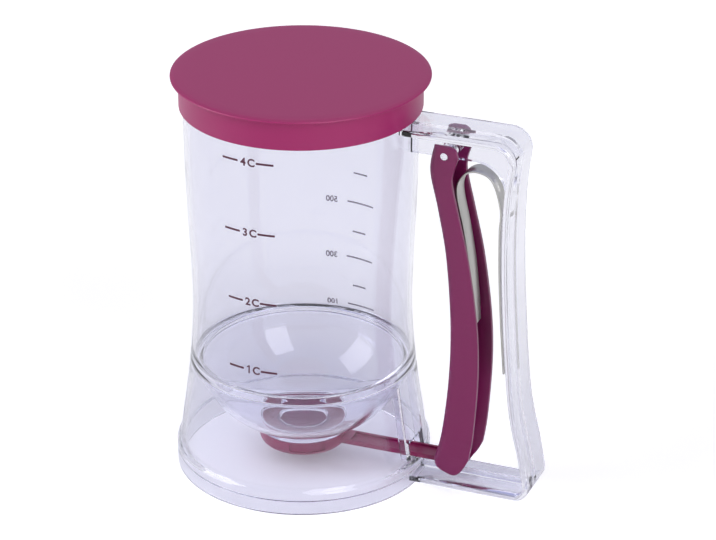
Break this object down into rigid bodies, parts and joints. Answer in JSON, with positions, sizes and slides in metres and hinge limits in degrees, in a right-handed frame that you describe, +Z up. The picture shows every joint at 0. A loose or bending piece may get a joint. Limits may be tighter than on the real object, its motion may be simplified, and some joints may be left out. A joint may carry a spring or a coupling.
{
  "type": "batter dispenser",
  "caption": "Clear hand-held cup with a bowl-shaped floor, lift-off lid and looped handle, whose sprung trigger draws a slide valve from under the outlet.",
  "frame": {"origin": "on the cup's axis at the plane it stands on, the centre of the recess inside the foot band", "axes": "+Z up along the cup's axis, +X towards the handle"},
  "size_m": [0.1675, 0.1136, 0.1857],
  "materials": {
    "clear_plastic": "clear moulded plastic, polished",
    "lid_plastic": "satin moulded plastic",
    "trigger_plastic": "satin moulded plastic",
    "seal_silicone": "matt silicone",
    "spring_steel": "rolled strip"
  },
  "bodies": {
    "jug": {"cup_wall": "clear_plastic", "shoulder_ring": "clear_plastic", "bowl_wall": "clear_plastic", "bowl_base": "clear_plastic", "outlet_seat": "clear_plastic", "base_skirt": "clear_plastic", "foot_band": "clear_plastic", "window_jambs": "clear_plastic", "handle_top_arm": "clear_plastic", "handle_corner": "clear_plastic", "handle_grip": "clear_plastic", "handle_heel": "clear_plastic", "handle_bottom_arm": "clear_plastic", "pivot_axle": "clear_plastic", "leaf_spring": "spring_steel"},
    "lid_cap": {"lid": "lid_plastic"},
    "trigger": {"trigger_lever": "trigger_plastic"},
    "slide_valve": {"valve_dish": "trigger_plastic", "valve_seal": "seal_silicone", "valve_arm": "trigger_plastic", "link_pin": "trigger_plastic"}
  },
  "joints": [
    {"name": "trigger_squeeze", "type": "hinge", "parent": "jug", "child": "trigger", "pos_m": [0.0691, 0, 0.1608], "axis": [0, -1, 0], "range_deg": [0, 7.5], "stiffness_Nm_per_rad": 2.7, "springref_deg": -5.16, "deforming": ["leaf_spring"]},
    {"name": "valve_slide", "type": "slide", "parent": "jug", "child": "slide_valve", "axis": [1, 0, 0], "range_m": [0, 0.0195]},
    {"name": "lid_lift", "type": "slide", "parent": "jug", "child": "lid_cap", "axis": [0, 0, 1], "range_m": [0, 0.06]}
  ],
  "couplings": [
    {"joint": "valve_slide", "follows": "trigger_squeeze", "m_per_rad": 0.1463}
  ]
}
